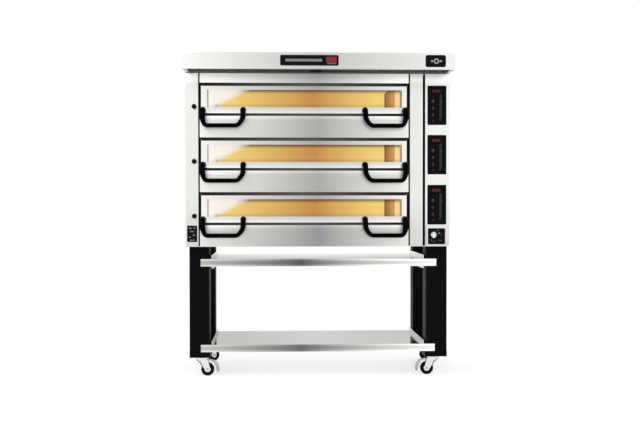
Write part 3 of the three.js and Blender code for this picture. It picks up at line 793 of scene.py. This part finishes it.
def control_pad(deck, low, top):
    face = PAD_FACE_Y
    plate("pad_rim_%d" % deck, rounded(668, 777, low + 3.5, top - 3.5, 4), (-3.5, -2.9),
          "pad_black", bevel=0.2)
    block("pad_display_%d" % deck, (693, 744), (-4.1, face), (top - 41, top - 25),
          "pad_red", bevel=0.2)
    block("pad_bar_%d" % deck, (738, 752), (-3.9, face), (top - 200, top - 52),
          "pad_dim", bevel=0.2)
    for k, (drop, material) in enumerate(((94, "pad_grey"), (137, "pad_rose"),
                                          (178, "pad_rose"))):
        turned("pad_ring_%d_%d" % (k, deck), 699, top - drop,
               ring_profile(5.5, 9, 9.4, -4.1, face), material, 24)
        turned("pad_key_%d_%d" % (k, deck), 699, top - drop,
               [(0, -3.9), (4.6, -3.9), (5, face), (0, face)], "pad_dim", 20)
    for k, (x, drop) in enumerate(((752, 98), (741, 208), (700, 214))):
        turned("pad_led_%d_%d" % (k, deck), x, top - drop,
               [(0, -4.1), (4, -4.1), (4.4, face), (0, face)], "pad_grey", 16)


# marks on the black plates: x, z of the centre, width, height
SWITCH_MARKS = (
    (736, 876, 12, 6), (750, 864, 9, 5), (700, 826, 30, 5),
    (742, 832, 22, 5), (728, 892, 20, 5), (688, 836, 8, 6),
)
SIDE_PLATE_MARKS = (
    (-773, 908, 18, 8), (-748, 910, 12, 8), (-762, 888, 26, 7),
    (-750, 866, 14, 10), (-775, 854, 12, 8), (-760, 836, 30, 6),
)
# (radius, y) from the grip's front to the back end of its stem
DAMPER_GRIP = [
    (0, -26), (9, -26), (13, -24.5), (14.5, -21), (14.5, -15), (12, -10.5),
    (8, -8.6), (7.5, -1.6), (4, -1.6), (4, 51.6), (0, 51.6),
]


def main_switch():
    plate("switch_plate", rounded(668, 772, 809, 906, 7), (-4.2, -2.2), "plate_black", bevel=0.4)
    for k, place in enumerate(SWITCH_MARKS):
        mark("switch_mark_%d" % k, *place, (-4.7, -4.1), "pad_grey" if k else "switch_mark")


def damper_grip(deck, dz):
    grip = turned("damper_grip_%d" % deck, -747, 1641 + dz, DAMPER_GRIP, "knob_black", 32,
                  "damper_%d" % deck)
    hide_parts("damper_knob_%d" % deck)


# ---------------------------------------------------------------- blank plates
def blank_plates():
    """Name plate and badge on the hood's front, side plate at the left of the body."""
    base = (HOOD_FRONT_Y - 3.2, HOOD_FRONT_Y - 0.2)
    raised = (HOOD_FRONT_Y - 3.8, HOOD_FRONT_Y - 3.1)
    for name, outline, depths, material, bevel in (
        ("name_plate", rounded(-230, 114, 1866, 1928, 9), base, "plate_black", 0.5),
        ("name_plate_bar", rounded(-199, 17, 1889, 1905, 5), raised, "plate_grey", 0.3),
        ("name_plate_block", rounded(40, 102, 1887, 1918, 3), raised, "plate_red", 0.3),
        ("name_plate_foot", rounded(44, 100, 1874, 1884, 2), raised, "plate_dark", 0.3),
        ("badge", rounded(626.5, 747, 1860, 1931, 12), base, "plate_black", 0.5),
    ):
        plate(name, outline, depths, material, bevel=bevel)
    badge_x, badge_z = 690, 1895
    turned("badge_ring", badge_x, badge_z,
           ring_profile(9, 16, 16, HOOD_FRONT_Y - 3.9, HOOD_FRONT_Y - 3.1), "plate_white", 32)
    for k, offset in enumerate((-26, 26)):
        mark("badge_bar_%d" % k, badge_x + offset, badge_z, 12, 10, raised, "plate_white", 0.3)
    plate("side_plate", rounded(-791, -731, 825, 924, 3), (-2.4, -0.2), "plate_black", bevel=0.4)
    for k, place in enumerate(SIDE_PLATE_MARKS):
        mark("side_plate_mark_%d" % k, *place, (-2.9, -2.3), "plate_grey")


# ---------------------------------------------------------------- hood inside
def hood_filters(count=10, pitch=154.6, width=150, slats=7, slat_pitch=25, slat_depth=19):
    """A row of filters, each of slats that slope down to the back."""
    thickness = Vector((0, 0, 0.0015))  # metres
    for k in range(count):
        x0 = -770 + k * pitch
        x1 = x0 + width
        bm = bmesh.new()
        for j in range(slats):
            front = -186 + j * slat_pitch
            back = front + slat_depth
            lower = [point(x0, front, 1890), point(x1, front, 1890),
                     point(x1, back, 1878), point(x0, back, 1878)]
            add_slab(bm, lower, [corner + thickness for corner in lower])
        finish_mesh("hood_filter_%d" % k, bm, "hood_filter", "root")


def outlet_flap():
    """A light non-return flap closes the steam outlet."""
    turned("outlet_flap", 0, 1894.5, [(0, 446), (43.4, 446), (43.4, 447.5), (0, 447.5)],
           "hood_filter", 48)


# ---------------------------------------------------------------- castors
CASTOR_X = 716
WHEEL_RADIUS = 40
WHEEL_TRAIL = 40  # from the swivel axis to the axle
# front half of each section: radius, y from the wheel's middle
TYRE_HALF = [(18.5, -13), (20.5, -14), (35, -14), (38.6, -12), (WHEEL_RADIUS, -8)]
HUB_HALF = [(6.6, -15), (11, -15), (12.5, -11.5), (14, -11), (17, -12), (18.2, -12.6)]
# dark strips of painted shade along the fork's edges: distance from the swivel axis towards the
# axle, z
FORK_EDGE_SHADE = [(-29, 103), (-29, 98), (-8, 81), (9, 52), (14, 52), (-2, 84)]
EDGE_SHADE_THICKNESS = 1.3


def mirrored_ring(half, y):
    """A closed section from its front half, about the plane at y."""
    section = half + [(radius, -offset) for radius, offset in reversed(half)] + half[:1]
    return [(radius, y + offset) for radius, offset in section]


def castor(row, y, side, sign, swing):
    """Built with its wheel on the inner side, then swung by some degrees about its pivot."""
    pivot_x = sign * CASTOR_X
    axle_x = pivot_x - sign * WHEEL_TRAIL
    pivot = point(pivot_x, y, 0)
    turn = (Matrix.Translation(pivot) @ Matrix.Rotation(math.radians(-sign * swing), 4, "Z")
            @ Matrix.Translation(-pivot))
    corner = "%s_%s" % (row, side)
    wheel, fork = "wheel_" + corner, "castor_" + corner
    tyre = turned("tyre_" + corner, axle_x, WHEEL_RADIUS, mirrored_ring(TYRE_HALF, y),
                  "castor_tyre", 56, wheel, turn)
    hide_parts("castor_wheel_" + corner)
    # rear hubs take the copy with painted shade
    turned("hub_" + corner, axle_x, WHEEL_RADIUS, mirrored_ring(HUB_HALF, y),
           "castor_hub" if row == "front" else "castor_hub_shaded", 48, wheel, turn)
    # dark strips of painted shade along the outer edges of the fork
    for face, rim_y in (("front", y - 22.4), ("rear", y + 21.1)):
        plate("fork_rim_%s_%s" % (face, corner), [(pivot_x - sign * u, z) for u, z in FORK_EDGE_SHADE],
              (rim_y, rim_y + EDGE_SHADE_THICKNESS), "fork_edge_shade", fork, 0.3, turn)
    for face, y0, y1 in (("front", y - 25.5, y - 21.2), ("rear", y + 21.2, y + 25.5)):
        turned("axle_nut_%s_%s" % (face, corner), axle_x, WHEEL_RADIUS,
               [(0, y0), (8, y0), (9, y0 + 1), (9, y1 - 1), (8, y1), (0, y1)],
               "bolt_steel", 6, fork, turn)


def cable_gland():
    """A black collar on the back of the body."""
    turned("cable_gland", 690, 1700,
           [(14, 969.6), (21, 969.6), (21, 974), (17, 978), (17, 990), (14, 992), (14, 969.6)],
           "knob_black", 24)


# ---------------------------------------------------------------- stage, light, camera
def white_floor(half=40, z=-0.0005):
    """A wide floor, in metres, that also glows."""
    bm = bmesh.new()
    corners = ((-half, -half), (half, -half), (half, half), (-half, half))
    bm.faces.new(add_ring(bm, [(x, y, z) for x, y in corners]))
    floor = new_object("floor", bm)
    shader = new_material("floor_white")
    diffuse = shader.add("BsdfDiffuse", Color=grey(0.34))
    emission = shader.add("Emission", Color=WHITE, Strength=0.70)
    shader.finish(shader.add("AddShader", diffuse, emission))
    put(floor, "floor_white")


def studio_world():
    """White, but reflections see white only in front of the oven and graded walls elsewhere."""
    world = bpy.data.worlds.new("studio")
    bpy.context.scene.world = world
    world.use_nodes = True
    world.node_tree.nodes.clear()
    shader = Shader(world.node_tree)
    incoming = shader.axes("Incoming")
    ahead = shader.math("MULTIPLY_ADD", incoming["y"], 4.0, 0.4, clamp=True)
    # the walls grow paler upwards and carry soft upright bands
    height = shader.math("MULTIPLY_ADD", incoming["z"], -0.35, 0.66)
    bands = shader.math("SINE", shader.math("MULTIPLY", incoming["x"], 9.0))
    walls = shader.math("ADD", height, shader.math("MULTIPLY", bands, 0.10))
    walls = shader.add("CombineColor", walls, walls, walls)
    tone = shader.mix(ahead, walls, WHITE)
    glossy = shader.add("LightPath").outputs["Is Glossy Ray"]
    tone = shader.mix(glossy, WHITE, tone)
    shader.finish(shader.add("Background", Color=tone, Strength=1.0), "OutputWorld")


def area_light(name, place, target, size, power):
    """A square light; place, target and size in metres, power in watts."""
    light = bpy.data.lights.new(name, "AREA")
    light.shape = "RECTANGLE"
    light.size = light.size_y = size
    light.energy = power
    obj = bpy.data.objects.new(name, light)
    obj.location = place
    aim = Vector(target) - Vector(place)
    obj.rotation_euler = aim.to_track_quat("-Z", "Y").to_euler()
    bpy.context.scene.collection.objects.link(obj)


def add_camera(yaw, pitch, roll):
    """The view from the front; angles in degrees."""
    data = bpy.data.cameras.new("camera")
    data.lens = 67.768
    data.sensor_width = 36
    data.shift_x = -0.0135
    data.shift_y = 0.025703125
    camera = bpy.data.objects.new("camera", data)
    camera.matrix_world = (
        Matrix.Translation(point(CAMERA_X, CAMERA_Y, CAMERA_Z))
        @ Matrix.Rotation(math.radians(yaw), 4, "Z")
        @ Matrix.Rotation(math.radians(90 + pitch), 4, "X")
        @ Matrix.Rotation(math.radians(roll), 4, "Z")
    )
    bpy.context.scene.collection.objects.link(camera)
    bpy.context.scene.camera = camera


# ---------------------------------------------------------------- build
dress_frame()
for deck, dz in DECKS:
    for side, sign in SIDES:
        door_handle(deck, dz, side, sign)
for deck, dz in DECKS:
    door_details(deck, dz)
for deck, dz in DECKS:
    lamp_rings(deck, dz)
for deck, (low, top) in enumerate(PAD_HEIGHTS, 1):
    control_pad(deck, low, top)
main_switch()
for deck, dz in DECKS:
    damper_grip(deck, dz)
blank_plates()
hood_filters()
outlet_flap()
# y of each row, then how far its left and right castors are swung, in degrees
for row, y, swings in (("front", 120, (0.0, 0.0)), ("rear", 815, (20.0, 165.0))):
    for (side, sign), swing in zip(SIDES, swings):
        castor(row, y, side, sign, swing)
cable_gland()

white_floor()
studio_world()
area_light("key", place=(-2.6, -4.2, 4.2), target=(0, 0, 1.1), size=1.6, power=120)
area_light("fill", place=(3.4, -3.6, 3.0), target=(0, 0, 1.0), size=2.0, power=40)
add_camera(yaw=-2.474, pitch=-1.173, roll=-0.032)
bpy.context.scene.view_settings.view_transform = "Standard"
bpy.context.scene.view_settings.look = "None"
